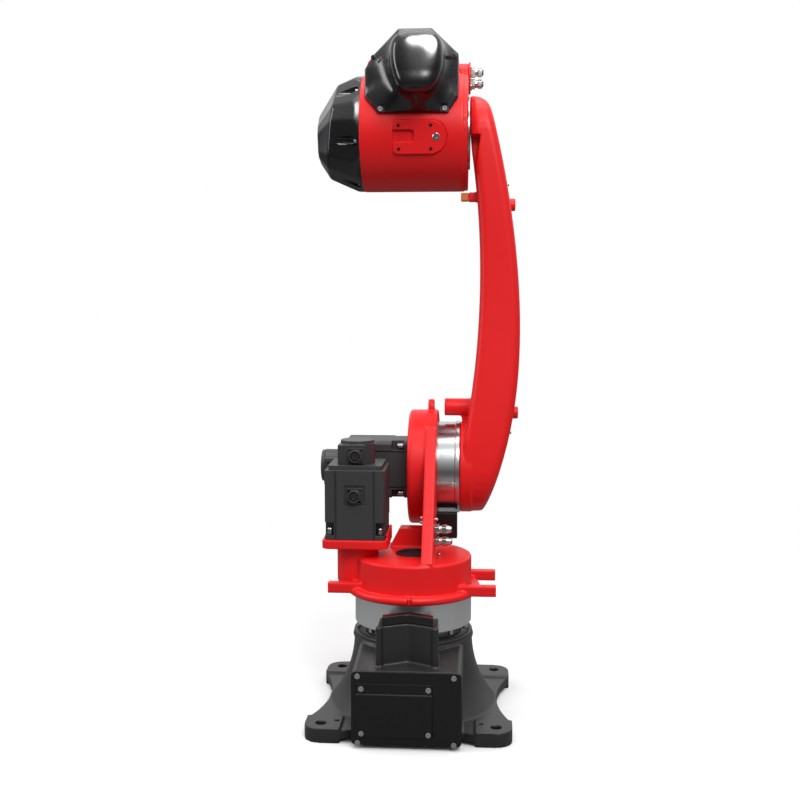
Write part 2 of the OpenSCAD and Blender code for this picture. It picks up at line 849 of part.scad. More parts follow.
// Elbow housing: cross barrel, forearm bearing housing, rear seat with ears and a cable outlet boss
seat_front = 40;
ear_r = 12;
ear_x = 86;
ear_z = 24;
ear_t = 30;
groove_in = 4;
flange_in = 2;
outlet_in = 67;
outlet_rise = 24;
outlet_y = shoulder_y + barrel_r - outlet_in;
outlet_z = roll_z + outlet_rise;
outlet_r = 33;
outlet_web_x = 21;
outlet_web_in = 3;
outlet_web_w = 52;
module elbow_housing() {
    color(red) difference() {
        union() {
            rod_x(barrel_x0, barrel_x1, shoulder_y, elbow_z, barrel_r, $fn = 128);
            rod_x(barrel_x1 - over, elbow_face_x - over, shoulder_y, elbow_z, barrel_r - groove_in,
                $fn = 128);
            rod_x(barrel_x1 + elbow_groove, elbow_face_x, shoulder_y, elbow_z, barrel_r - flange_in,
                $fn = 128);
            translate([seat_shift, 0, roll_z]) slab_y(roll_y0, shoulder_y + seat_front)
                polygon(seat_points);
            rod_y(shoulder_y, roll_y1, 0, roll_z, roll_r, $fn = 128);
            for (s = [-1, 1])
                rod_y(roll_y0 + over, roll_y0 + ear_t, seat_shift + s * ear_x, roll_z + ear_z, ear_r);
            rod_x(0, elbow_face_x, outlet_y, outlet_z, outlet_r);
            translate([elbow_face_x - outlet_web_in - outlet_web_x, outlet_y - outlet_web_w / 2, elbow_z])
                cube([outlet_web_x, outlet_web_w, outlet_z - elbow_z]);
        }
        access_frame() slab_y(-2 * plate_seat, 0) access_outline(fit_gap);
    }
}

plate_t = 4;
plate_over = 3;
module outlet_plate() {
    color(red) rod_x(elbow_face_x, elbow_face_x + plate_t, outlet_y, outlet_z, outlet_r + plate_over);
}

outlet_gland_l = 28;
module outlet_glands() {
    color(chrome) for (s = [-1, 1])
        translate([elbow_face_x + plate_t, outlet_y, outlet_z + s * gland_pitch / 2])
            rotate([0, 90, 0]) gland(outlet_gland_l);
}

module elbow_reducer() {
    color(steel) rod_x(elbow_face_x, arm_x1 - run_gap, shoulder_y, elbow_z, elbow_ring_r, $fn = 128);
}

// Side cover over the elbow motor: a six-sided cap with cut corners and screw pockets in its facets
facets = 6;
facet_turn = -15;
facet_half = 21;
cap_shoulder = 67;
cap_lean = 0.114;
cap_lift = 6;
cap_drop = 11;
cap_base_in = 3;
cap_shoulder_in = 30;
cap_end_in = 80;
cap_edge = 1;
bay_r = 11;
bay_in = 14;
bay_floor = 6;
function facet_ring(l, lean, lift, apothem) = [
    for (k = [0 : facets - 1], s = [-1, 1])
        let (a = facet_turn + k * 360 / facets + s * facet_half, r = apothem / cos(facet_half))
        [barrel_x0 - l + lean * r * sin(a), shoulder_y - r * cos(a), elbow_z + lift + r * sin(a)]
];
module side_cover() {
    color(gloss_black) difference() {
        intersection() {
            loft([facet_ring(0, 0, 0, barrel_r - cap_base_in),
                facet_ring(cap_shoulder, cap_lean, cap_lift, barrel_r - cap_shoulder_in),
                facet_ring(side_cover_l, 0, -cap_drop, barrel_r - cap_end_in)]);
            rod_x(barrel_x0 - side_cover_l - over, barrel_x0 + over, shoulder_y, elbow_z,
                barrel_r - cap_edge, $fn = 128);
        }
        for (k = [0 : facets - 1])
            let (a = facet_turn + k * 360 / facets, r = barrel_r - bay_in)
                rod_x(barrel_x0 - side_cover_l, barrel_x0 - bay_floor, shoulder_y - r * cos(a),
                    elbow_z + r * sin(a), bay_r);
    }
}

// Rear cover over the forearm motor: a skirt on the seat's outline that flares up into a shield
shield_mid = [14, 9];
shield_w = 57;
shield_h = 64;
shield_taper = 0.25;
shield_square = 3.2;
dome_square = 4.2;
skirt_l = 10;
flare_l = 62;
flare_curve = 2.4;
ridge = 1.5;
ridge_half = 14;
tip_flat = 1.5;
flare_steps = 6;
dome_steps = 8;
back_steps = 8;
cover_sides = 60;
function cross2(a, b) = a[0] * b[1] - a[1] * b[0];
function seat_ray(a) =
    let (d = [cos(a), sin(a)], n = len(seat_points))
    max([for (i = [0 : n - 1])
        let (p = seat_points[i] - shield_mid, e = seat_points[(i + 1) % n] - seat_points[i],
            k = cross2(d, e), u = cross2(p, d) / k)
        if (u >= 0 && u <= 1) cross2(p, e) / k]);
function shield_ray(a) =
    let (w = shield_w * (1 + shield_taper * min(0, sin(a))), n = shield_square)
    pow(pow(abs(cos(a)) / w, n) + pow(abs(sin(a)) / shield_h, n), -1 / n);
function cover_ray(a, l) =
    let (t = min(1, max(0, l - skirt_l) / flare_l),
        dome_l = rear_cover_l - skirt_l - flare_l,
        u = max(0, l - skirt_l - flare_l) / dome_l,
        fall = flare_curve - ridge * exp(-pow((a - 270) / ridge_half, 2)),
        s = pow(1 - pow(u, dome_square), 1 / dome_square))
    shield_ray(a) * s + (seat_ray(a) - shield_ray(a)) * pow(1 - t, fall);
cover_levels = concat([0],
    [for (k = [0 : flare_steps]) skirt_l + flare_l * k / flare_steps],
    [for (k = [1 : dome_steps])
        skirt_l + flare_l + (rear_cover_l - tip_flat - skirt_l - flare_l) * sin(90 * k / dome_steps)]);
function barrel_back(z) = shoulder_y - end_half(barrel_r + fit_gap, z - elbow_z);
function cover_point(a, r, l) =
    let (z = roll_z + shield_mid[1] + r * sin(a))
    [seat_shift + shield_mid[0] + r * cos(a), min(roll_y0, barrel_back(z)) - l, z];
function cover_ring(l, share = 1) = [
    for (j = [0 : cover_sides - 1])
        let (a = j * 360 / cover_sides)
        cover_point(a, over + (cover_ray(a, l) - over) * share, l)
];
module rear_cover() {
    color(gloss_black) loft(concat([for (k = [0 : back_steps - 1]) cover_ring(0, k / back_steps)],
        [for (l = cover_levels) cover_ring(l)]));
}

// Flat access plate let into the back of the barrel, tilted to face square off the barrel
plate_seat = 7;
access_t = 8;
access_tilt = 11;
access_x = 10;
access_w = 80;
access_h = 72;
access_left = 58;
access_corner = 10;
slot_l = 45;
slot_h = 26;
slot_z = 3;
module access_frame() {
    translate([access_x, shoulder_y, elbow_z]) rotate([access_tilt, 0, 0])
        translate([0, plate_seat - barrel_r, 0]) children();
}

module access_outline(grow) {
    half = access_h / 2 + grow;
    corner = access_corner + grow;
    end = access_w - access_left;
    difference() {
        union() {
            translate([corner - access_left - grow, -half])
                square([end + access_left - corner + grow, 2 * half]);
            translate([-access_left - grow, corner - half]) square([2 * corner, 2 * (half - corner)]);
            for (s = [-1, 1])
                translate([corner - access_left - grow, s * (half - corner)]) circle(corner);
            translate([end, 0]) circle(half);
        }
        if (grow == 0)
            translate([-access_left - over, slot_z - slot_h / 2]) {
                square([slot_l + over - slot_h / 4, slot_h]);
                translate([slot_l + over - slot_h / 4, slot_h / 4]) square([slot_h / 4, slot_h / 2]);
                for (k = [1, 3])
                    translate([slot_l + over - slot_h / 4, k * slot_h / 4]) circle(slot_h / 4);
            }
    }
}

module access_plate() {
    color(red) access_frame() slab_y(-access_t, 0) access_outline(0);
}

roll_ring_in = 12;
module roll_reducer() {
    color(steel) rod_y(roll_y1, roll_y1 + roll_ring_t, 0, roll_z, roll_r - roll_ring_in, $fn = 128);
}

// Forearm: round flange, casting that tapers from round to oblong, and a fork for the wrist
fork_root_y = wrist_y - fork_slot_l;
fork_sink = 5;
fore_flange_t = 20;
fore_root_in = 6;
fore_neck_l = 110;
fore_neck_w = 74;
fore_neck_h = 68;
fore_neck_r = 56;
fore_end_l = 180;
fore_end_h = 56;
fore_corner = 14;
module forearm() {
    root = fore_flange_r - fore_root_in;
    stations = [[fore_y0 + fore_flange_t - over, root, root, root - over],
        [fore_y0 + fore_neck_l, fore_neck_w, fore_neck_h, fore_neck_r],
        [fork_root_y - fore_end_l, fork_x, fore_end_h, fore_corner],
        [fork_root_y, fork_x, fork_r, fore_corner]];
    color(red) difference() {
        union() {
            rod_y(fore_y0, fore_y0 + fore_flange_t, 0, roll_z, fore_flange_r, $fn = 128);
            loft([for (s = stations)
                [for (p = round_ring(-s[1], s[1], -s[2], s[2], s[3])) [p[0], s[0], roll_z - p[1]]]]);
            for (x0 = [-fork_x, fork_x - fork_t]) slab_x(x0, x0 + fork_t) {
                translate([fork_root_y - fork_sink, roll_z - fork_r])
                    square([fork_slot_l + fork_sink, 2 * fork_r]);
                translate([wrist_y, roll_z]) circle(fork_r);
            }
        }
        rod_x(-fork_x - over, fork_x + over, wrist_y, roll_z, pivot_r + fit_gap);
    }
}

fork_cover_t = 8;
fork_cover_l = 250;
fork_cover_in = 12;
module fork_cover(s) {
    r = fork_r - fork_cover_in;
    x0 = s > 0 ? fork_x : -fork_x - fork_cover_t;
    color(gloss_black) slab_x(x0, x0 + fork_cover_t) {
        translate([wrist_y - fork_cover_l, roll_z - r]) square([fork_cover_l, 2 * r]);
        translate([wrist_y, roll_z]) circle(r);
    }
}

// Wrist: cross barrel on two pivots with a nose that carries the tool flange
wrist_r = 46;
wrist_side = 6;
pivot_lip = 7;
nose_r = 36;
wrist_ring_t = 12;
wrist_ring_in = 3;
tool_t = 17;
wrist_ring_y = wrist_y + tool_len - tool_t - run_gap - wrist_ring_t;
module wrist_body() {
    half = fork_x - fork_t - wrist_side;
    side = half + wrist_side - run_gap;
    color(red) {
        rod_x(-half, half, wrist_y, roll_z, wrist_r);
        rod_x(-side, side, wrist_y, roll_z, pivot_r + pivot_lip);
        rod_x(-fork_x, fork_x, wrist_y, roll_z, pivot_r);
        rod_y(wrist_y, wrist_ring_y, 0, roll_z, nose_r);
    }
}

module wrist_ring() {
    color(steel) rod_y(wrist_ring_y, wrist_ring_y + wrist_ring_t, 0, roll_z, nose_r - wrist_ring_in);
}

pilot_depth = 6;
tool_hole_depth = 12;
module tool_flange() {
    y1 = wrist_y + tool_len;
    color(steel) difference() {
        rod_y(y1 - tool_t, y1, 0, roll_z, tool_r, $fn = 128);
        rod_y(y1 - pilot_depth, y1 + over, 0, roll_z, pilot_d / 2);
        for (a = [45 : 90 : 315])
            rod_y(y1 - tool_hole_depth, y1 + over, tool_pcd / 2 * cos(a),
                roll_z + tool_pcd / 2 * sin(a), tool_hole_d / 2);
    }
}

base_casting();
box_cover();
connector_panel();
swivel_stop();
swivel_output();
turret();
swivel_reducer();
cable_cap();
swivel_motor();
swivel_encoder();
swivel_sockets();
shoulder_motor();
shoulder_encoder();
shoulder_sockets();
shoulder_reducer();
shoulder_stop();
turret_glands();
lower_arm();
elbow_bumper();
elbow_housing();
elbow_reducer();
side_cover();
rear_cover();
access_plate();
outlet_plate();
outlet_glands();
roll_reducer();
forearm();
fork_cover(-1);  // fork_cover_left
fork_cover(1);  // fork_cover_right
wrist_body();
wrist_ring();
tool_flange();
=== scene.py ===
"""Dresses the frame of a floor-mounted industrial robot arm for a studio picture.

The frame gives every node in metres. Castings get rounded skins, machined pieces get
broken edges, and fasteners are set out by geometry nodes.
"""

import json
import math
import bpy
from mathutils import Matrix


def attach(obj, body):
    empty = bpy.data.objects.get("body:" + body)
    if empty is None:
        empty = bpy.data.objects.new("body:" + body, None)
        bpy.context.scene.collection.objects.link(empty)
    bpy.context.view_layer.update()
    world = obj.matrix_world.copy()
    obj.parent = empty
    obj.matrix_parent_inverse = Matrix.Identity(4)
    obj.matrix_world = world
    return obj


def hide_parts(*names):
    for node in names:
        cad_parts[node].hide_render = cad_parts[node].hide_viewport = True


bl_info = {
    "name": "Industrial Robot Arm",
    "version": (1, 0, 0),
    "blender": (4, 5, 0),
    "location": "View3D > Sidebar > Robot Arm",
    "description": "Castings, covers, motors, fasteners and stage for an industrial robot arm",
    "category": "Add Mesh",
}

import bmesh
import bpy
from bpy.props import FloatProperty, FloatVectorProperty, IntProperty, PointerProperty
from mathutils import Matrix, Vector

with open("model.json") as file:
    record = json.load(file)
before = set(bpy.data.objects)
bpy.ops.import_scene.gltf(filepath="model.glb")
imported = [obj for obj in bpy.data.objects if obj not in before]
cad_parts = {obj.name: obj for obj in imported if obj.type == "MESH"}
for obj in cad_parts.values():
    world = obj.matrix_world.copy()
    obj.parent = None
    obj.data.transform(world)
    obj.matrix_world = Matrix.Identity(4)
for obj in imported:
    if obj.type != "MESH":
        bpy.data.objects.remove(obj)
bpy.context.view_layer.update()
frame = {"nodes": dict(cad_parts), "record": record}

MM = 0.001
RECORD = frame["record"]
BODY_OF = {node: body for body, nodes in RECORD["behaviour"]["bodies"].items() for node in nodes}
BACK, FORWARD, UP, DOWN, LEFT, RIGHT = (0, -1, 0), (0, 1, 0), (0, 0, 1), (0, 0, -1), (-1, 0, 0), (1, 0, 0)

# Sockets of a colour mix node: its two colours and its result
MIX_A, MIX_B, MIX_RESULT = 6, 7, 2

# Places that several pieces share, in mm
ARM_Y, SHOULDER_Z, ELBOW_Z, ROLL_Z = 170, 515, 1275, 1385
MOTOR_X, MOTOR_BOLT = -122, 54
PANEL_X, PANEL_Z = (-90.5, 44.6), (33, 125)
OUTLET_Y, OUTLET_Z = 232, 1409
LOW_SCREWS = ((-74, 1309), (64, 1309))
HIGH_SCREWS = ((-89, 1418), (85, 1418))
SIDE_SEAT_X, SIDE_SCREW_R = -128, 115
SIDE_ANGLES = [math.radians(60 * k - 15) for k in range(6)]
SIDE_SCREWS = [(SIDE_SEAT_X, ARM_Y - SIDE_SCREW_R * math.cos(a), ELBOW_Z + SIDE_SCREW_R * math.sin(a))
               for a in SIDE_ANGLES]


# Properties

class RobotColours(bpy.types.PropertyGroup):
    """Colours of the arm's finishes"""

    def colour(label, text, value):
        return FloatVectorProperty(name=label, description=text, subtype="COLOR", size=3,
                                   min=0.0, max=1.0, default=value)

    red: colour("Red paint", "Gloss paint on the arm's castings", (0.78, 0.012, 0.014))
    cast: colour("Base casting", "Satin paint on the foot and pedestal", (0.017, 0.016, 0.0155))
    sheet: colour("Box cover", "Paint on the connection box's cover", (0.0035, 0.0035, 0.004))
    motor: colour("Motor", "Finish of the servo motors", (0.036, 0.036, 0.038))
    cover: colour("Gloss cover", "Moulded covers on the elbow", (0.006, 0.006, 0.007))
    steel: colour("Steel", "Machined rings", (0.56, 0.57, 0.58))
    case: colour("Reducer case", "Case of the swivel reducer", (0.78, 0.79, 0.80))
    nickel: colour("Nickel", "Plated screws and glands", (0.60, 0.60, 0.59))
    orange: colour("Bumper", "Elastic bumper", (0.60, 0.16, 0.03))
    rubber: colour("Rubber", "Rubber cap and seals", (0.010, 0.010, 0.010))


class RobotCastings(bpy.types.PropertyGroup):
    """How the castings and machined edges are rounded"""

    voxel: FloatProperty(name="Grain of large castings", description="Cell size of a casting's skin",
                         default=2.0 * MM, min=1.5 * MM, max=8.0 * MM, unit="LENGTH")
    rounds: IntProperty(name="Fillet rounds", description="Smoothing rounds that make the fillets",
                        default=4, min=1, max=40)
    break_edge: FloatProperty(name="Broken edge", description="Bevel on machined edges",
                              default=1.0 * MM, min=0.2 * MM, max=4.0 * MM, unit="LENGTH")


class RobotFasteners(bpy.types.PropertyGroup):
    """Sizes of the screws"""

    ring_head: FloatProperty(name="Ring screw head", description="Head radius under the swivel ring",
                             default=6.5 * MM, min=2 * MM, max=12 * MM, unit="LENGTH")
    motor_head: FloatProperty(name="Motor screw head", description="Head radius on the motor flanges",
                              default=6.0 * MM, min=2 * MM, max=12 * MM, unit="LENGTH")
    cover_head: FloatProperty(name="Cover screw head", description="Head radius on the covers",
                              default=5.6 * MM, min=2 * MM, max=12 * MM, unit="LENGTH")
    small_head: FloatProperty(name="Small screw head", description="Head radius of the small screws",
                              default=2.2 * MM, min=1 * MM, max=6 * MM, unit="LENGTH")


class RobotStage(bpy.types.PropertyGroup):
    """Camera and lights"""

    lens: FloatProperty(name="Lens", description="Focal length in millimetres",
                        default=50.0, min=20.0, max=120.0)
    gleam: FloatProperty(name="Gleam light", description="Power of the light in the covers' gloss in watts",
                         default=1300.0, min=0.0)
    key: FloatProperty(name="Key light", description="Power of the soft light behind the camera in watts",
                       default=70.0, min=0.0)
    strip: FloatProperty(name="Strip light", description="Power of the tall light on the left in watts",
                         default=22.0, min=0.0)
    top: FloatProperty(name="Top light", description="Power of the overhead light in watts",
                       default=32.0, min=0.0)
    sky: FloatProperty(name="Surround", description="Brightness of the surrounding studio",
                       default=1.1, min=0.0)


# Mesh helpers

def add_object(name, mesh):
    obj = bpy.data.objects.new(name, mesh)
    bpy.context.scene.collection.objects.link(obj)
    return obj


def merged_copy(node):
    """The node's solid with its doubled points joined."""
    bm = bmesh.new()
    bm.from_mesh(frame["nodes"][node].data)
    bmesh.ops.remove_doubles(bm, verts=bm.verts, dist=0.01 * MM)
    return bm


def settle(obj):
    """Turns the object's live modifiers into a plain mesh."""
    graph = bpy.context.evaluated_depsgraph_get()
    mesh = bpy.data.meshes.new_from_object(obj.evaluated_get(graph), depsgraph=graph)
    mesh.validate()
    old = obj.data
    obj.modifiers.clear()
    obj.data = mesh
    bpy.data.meshes.remove(old)
    return obj


def shade(obj, angle=None):
    """Smooth shading, with edges over the angle in degrees kept sharp."""
    mesh = obj.data
    mesh.polygons.foreach_set("use_smooth", [True] * len(mesh.polygons))
    if angle is not None:
        mesh.set_sharp_from_angle(angle=math.radians(angle))
    mesh.update()


def dress(obj, material, node=None, body=None):
    """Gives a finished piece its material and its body."""
    obj.data.materials.clear()
    obj.data.materials.append(bpy.data.materials[material])
    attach(obj, body or BODY_OF[node])
    if node:
        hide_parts(node)
    return obj


def node_copy(node, bays=()):
    """A new object with the node's solid and its round bays."""
    bm = merged_copy(node)
    mesh = bpy.data.meshes.new(node + "_skin")
    bm.to_mesh(mesh)
    bm.free()
    obj = add_object(node + "_skin", mesh)
    if bays:
        cut_bays(obj, bays)
    return obj


def cut_bays(obj, bays):
    """Cuts round bays into the object: each is (place, axis, radius, depth) in mm."""
    bm = bmesh.new()
    for place, axis, radius, depth in bays:
        revolve(bm, [(0, 0), (radius * MM, 0), (radius * MM, depth * MM), (0, depth * MM)], at(place, axis))
    carve(obj, bm)


def carve(obj, bm):
    """Takes the solids in bm out of the object."""
    bmesh.ops.recalc_face_normals(bm, faces=bm.faces)
    mesh = bpy.data.meshes.new("tool")
    bm.to_mesh(mesh)
    bm.free()
    tool = add_object("tool", mesh)
    cut = obj.modifiers.new("cut", "BOOLEAN")
    cut.operation = "DIFFERENCE"
    cut.object = tool
    settle(obj)
    bpy.data.objects.remove(tool)
    bpy.data.meshes.remove(mesh)


def cast_skin(node, material, voxel, rounds, keep, notches=()):
    """A casting: the node's solid with edges run into fillets, and crisp notches: (middle, size) in mm."""
    obj = node_copy(node)
    grid = obj.modifiers.new("grain", "REMESH")
    grid.mode = "VOXEL"
    grid.voxel_size = voxel
    soft = obj.modifiers.new("fillets", "SMOOTH")
    soft.factor = 0.5
    soft.iterations = rounds
    thin = obj.modifiers.new("thin", "DECIMATE")
    thin.ratio = keep
    settle(obj)
    if notches:
        bm = bmesh.new()
        for middle, size in notches:
            place = Matrix.Translation(Vector(middle) * MM) @ Matrix.Diagonal((*(c * MM for c in size), 1))
            bmesh.ops.create_cube(bm, size=1.0, matrix=place)
        carve(obj, bm)
    shade(obj, 60 if notches else None)
    return dress(obj, material, node)


def grid_skin(node, material, rows, bays, soft, free):
    """A smooth moulding: a closed skin through rows of points in mm, eased where free() says so."""
    bm = bmesh.new()
    rows = [[bm.verts.new(Vector(point) * MM) for point in row] for row in rows]
    for low, high in zip(rows, rows[1:]):
        for k in range(len(low)):
            bm.faces.new((low[k - 1], low[k], high[k], high[k - 1]))
    for row in (rows[0], rows[-1]):
        middle = bm.verts.new(sum((v.co for v in row), Vector()) / len(row))
        for k in range(len(row)):
            bm.faces.new((row[k - 1], row[k], middle))
    bmesh.ops.recalc_face_normals(bm, faces=bm.faces)
    loose = [v for v in bm.verts if free(v.co / MM)]
    for _ in range(soft):
        bmesh.ops.smooth_vert(bm, verts=loose, factor=0.5, use_axis_x=True, use_axis_y=True, use_axis_z=True)
    mesh = bpy.data.meshes.new(node + "_skin")
    bm.to_mesh(mesh)
    bm.free()
    obj = add_object(node + "_skin", mesh)
    cut_bays(obj, bays)
    shade(obj, 35)
    return dress(obj, material, node)


def machined_skin(node, material, bevel, steps=2, bays=()):
    """A machined or moulded piece: flat faces kept, sharp edges broken."""
    obj = node_copy(node, bays)
    bm = bmesh.new()
    bm.from_mesh(obj.data)
    bmesh.ops.dissolve_limit(bm, angle_limit=math.radians(0.8), verts=bm.verts, edges=bm.edges)
    bm.to_mesh(obj.data)
    bm.free()
    edge = obj.modifiers.new("edges", "BEVEL")
    edge.width = bevel
    edge.segments = steps
    edge.limit_method = "ANGLE"
    edge.angle_limit = math.radians(32)
    edge.use_clamp_overlap = False
    settle(obj)
    shade(obj, 40)
    flat = obj.modifiers.new("flat faces", "WEIGHTED_NORMAL")
    flat.weight = 60
    flat.keep_sharp = True
    settle(obj)
    return dress(obj, material, node)


def at(place, axis):
    """Frame at a place in mm whose Z runs along the axis."""
    turn = Vector(axis).to_track_quat("Z", "X").to_matrix().to_4x4()
    return Matrix.Translation(Vector(place) * MM) @ turn


def revolve(bm, profile, place, sides=40):
    """Adds a closed turned shape: profile is (radius, height) pairs from the axis back to it."""
    rings = []
    for radius, height in profile:
        if radius < 1e-7:
            rings.append([bm.verts.new(place @ Vector((0, 0, height)))])
            continue
        rings.append([bm.verts.new(place @ Vector((radius * math.cos(k * math.tau / sides),
                                                   radius * math.sin(k * math.tau / sides), height)))
                      for k in range(sides)])
    for low, high in zip(rings, rings[1:]):
        for k in range(sides):
            n = (k + 1) % sides
            corners = [low[k % len(low)], low[n % len(low)], high[n % len(high)], high[k % len(high)]]
            unique = [v for i, v in enumerate(corners) if v not in corners[:i]]
            if len(unique) > 2:
                bm.faces.new(unique)


def turned_piece(name, profile, seats, material, body):
    """The same turned shape on several seats: the profile and the seats' places are in mm."""
    bm = bmesh.new()
    for place, axis in seats:
        revolve(bm, [(r * MM, h * MM) for r, h in profile], at(place, axis))
    bmesh.ops.recalc_face_normals(bm, faces=bm.faces)
    mesh = bpy.data.meshes.new(name)
    bm.to_mesh(mesh)
    bm.free()
    obj = add_object(name, mesh)
    shade(obj, 35)
    return dress(obj, material, body=body)


# Finishes

def finish(name, colour, metallic=0.0, roughness=0.4, spread=0.06, tint=0.06, grain=300.0, depth=0.05,
           cloud=9.0, stretch=(1, 1, 1), shine=0.5):
    """A surface finish: fine grain in the bump and roughness, broad clouds in colour."""
    mat = bpy.data.materials.new(name)
    mat.use_nodes = True
    tree = mat.node_tree
    tree.nodes.clear()
    out = tree.nodes.new("ShaderNodeOutputMaterial")
    shader = tree.nodes.new("ShaderNodeBsdfPrincipled")
    coords = tree.nodes.new("ShaderNodeTexCoord")
    mapping = tree.nodes.new("ShaderNodeMapping")
    mapping.inputs["Scale"].default_value = stretch
    fine = tree.nodes.new("ShaderNodeTexNoise")
    fine.inputs["Scale"].default_value = grain
    fine.inputs["Detail"].default_value = 3.0
    broad = tree.nodes.new("ShaderNodeTexNoise")
    broad.inputs["Scale"].default_value = cloud
    broad.inputs["Detail"].default_value = 4.0
    ramp = tree.nodes.new("ShaderNodeMix")
    ramp.data_type = "RGBA"
    ramp.inputs[MIX_A].default_value = (*[c * (1 - tint) for c in colour], 1)
    ramp.inputs[MIX_B].default_value = (*[min(1, c * (1 + tint)) for c in colour], 1)
    rough = tree.nodes.new("ShaderNodeMapRange")
    rough.inputs["To Min"].default_value = max(0.02, roughness - spread)
    rough.inputs["To Max"].default_value = roughness + spread
    bump = tree.nodes.new("ShaderNodeBump")
    bump.inputs["Strength"].default_value = depth
    bump.inputs["Distance"].default_value = 1.0 * MM
    link = tree.links.new
    link(coords.outputs["Object"], mapping.inputs["Vector"])
    link(mapping.outputs["Vector"], fine.inputs["Vector"])
    link(coords.outputs["Object"], broad.inputs["Vector"])
    link(broad.outputs["Fac"], ramp.inputs[0])
    link(ramp.outputs[MIX_RESULT], shader.inputs["Base Color"])
    link(fine.outputs["Fac"], rough.inputs["Value"])
    link(rough.outputs["Result"], shader.inputs["Roughness"])
    link(fine.outputs["Fac"], bump.inputs["Height"])
    link(bump.outputs["Normal"], shader.inputs["Normal"])
    link(shader.outputs["BSDF"], out.inputs["Surface"])
    shader.inputs["Metallic"].default_value = metallic
    shader.inputs["Specular IOR Level"].default_value = shine
    return mat


# Screws by geometry nodes

def screw_tree():
    """Cap screws on points: each point carries the direction of its head in 'axis'."""
    tree = bpy.data.node_groups.new("cap_screws", "GeometryNodeTree")
    face = tree.interface
    face.new_socket("Geometry", in_out="INPUT", socket_type="NodeSocketGeometry")
    sizes = {"Head radius": 6.0 * MM, "Head height": 8.0 * MM, "Socket radius": 3.0 * MM,
             "Socket depth": 4.0 * MM}
    for label, value in sizes.items():
        entry = face.new_socket(label, in_out="INPUT", socket_type="NodeSocketFloat")
        entry.subtype = "DISTANCE"
        entry.default_value = value
    face.new_socket("Finish", in_out="INPUT", socket_type="NodeSocketMaterial")
    face.new_socket("Geometry", in_out="OUTPUT", socket_type="NodeSocketGeometry")
    add = tree.nodes.new
    link = tree.links.new
    given = add("NodeGroupInput")
    result = add("NodeGroupOutput")

    def math_node(kind, a, b):
        node = add("ShaderNodeMath")
        node.operation = kind
        for index, value in enumerate((a, b)):
            if isinstance(value, float):
                node.inputs[index].default_value = value
            else:
                link(value, node.inputs[index])
        return node.outputs[0]

    def lifted(mesh, height):
        place = add("ShaderNodeCombineXYZ")
        link(height, place.inputs["Z"])
        move = add("GeometryNodeTransform")
        link(mesh, move.inputs["Geometry"])
        link(place.outputs[0], move.inputs["Translation"])
        return move.outputs[0]

    sides, crown_share = 28, 0.14
    shank_share = 1 - crown_share
    head = add("GeometryNodeMeshCylinder")
    head.inputs["Vertices"].default_value = sides
    link(given.outputs["Head radius"], head.inputs["Radius"])
    link(math_node("MULTIPLY", given.outputs["Head height"], shank_share), head.inputs["Depth"])
    crown = add("GeometryNodeMeshCone")
    crown.inputs["Vertices"].default_value = sides
    link(given.outputs["Head radius"], crown.inputs["Radius Bottom"])
    link(math_node("MULTIPLY", given.outputs["Head radius"], shank_share), crown.inputs["Radius Top"])
    link(math_node("MULTIPLY", given.outputs["Head height"], crown_share), crown.inputs["Depth"])
    body = lifted(head.outputs["Mesh"], math_node("MULTIPLY", given.outputs["Head height"], shank_share / 2))
    top = lifted(crown.outputs["Mesh"], math_node("MULTIPLY", given.outputs["Head height"], shank_share))
    solid = add("GeometryNodeMeshBoolean")
    solid.operation = "UNION"
    link(body, solid.inputs[1])
    link(top, solid.inputs[1])
    key = add("GeometryNodeMeshCylinder")
    key.inputs["Vertices"].default_value = 6
    link(given.outputs["Socket radius"], key.inputs["Radius"])
    link(math_node("MULTIPLY", given.outputs["Socket depth"], 2.0), key.inputs["Depth"])
    cut = add("GeometryNodeMeshBoolean")
    cut.operation = "DIFFERENCE"
    link(solid.outputs[0], cut.inputs[0])
    link(lifted(key.outputs["Mesh"], given.outputs["Head height"]), cut.inputs[1])
    axis = add("GeometryNodeInputNamedAttribute")
    axis.data_type = "FLOAT_VECTOR"
    axis.inputs["Name"].default_value = "axis"
    turn = add("FunctionNodeAlignRotationToVector")
    turn.axis = "Z"
    link(axis.outputs["Attribute"], turn.inputs["Vector"])
    copies = add("GeometryNodeInstanceOnPoints")
    link(given.outputs["Geometry"], copies.inputs["Points"])
    link(cut.outputs[0], copies.inputs["Instance"])
    link(turn.outputs["Rotation"], copies.inputs["Rotation"])
    real = add("GeometryNodeRealizeInstances")
    link(copies.outputs[0], real.inputs[0])
    paint = add("GeometryNodeSetMaterial")
    link(real.outputs[0], paint.inputs["Geometry"])
    link(given.outputs["Finish"], paint.inputs["Material"])
    link(paint.outputs[0], result.inputs[0])
    return tree


def screws(name, body, seats, radius, height, material="screw_finish"):
    """A set of cap screws on one body: seats are (place in mm, axis) pairs."""
    tree = bpy.data.node_groups.get("cap_screws") or screw_tree()
    mesh = bpy.data.meshes.new(name)
    mesh.from_pydata([Vector(place) * MM for place, axis in seats], [], [])
    data = mesh.attributes.new("axis", "FLOAT_VECTOR", "POINT")
    data.data.foreach_set("vector", [c for place, axis in seats for c in Vector(axis).normalized()])
    obj = add_object(name, mesh)
    setter = obj.modifiers.new("screws", "NODES")
    setter.node_group = tree
    values = {"Head radius": radius, "Head height": height, "Socket radius": radius * 0.52,
              "Socket depth": height * 0.55, "Finish": bpy.data.materials[material]}
    for item in tree.interface.items_tree:
        if item.in_out == "INPUT" and item.name in values:
            setter[item.identifier] = values[item.name]
    settle(obj)
    shade(obj, 32)
    return dress(obj, material, body=body)


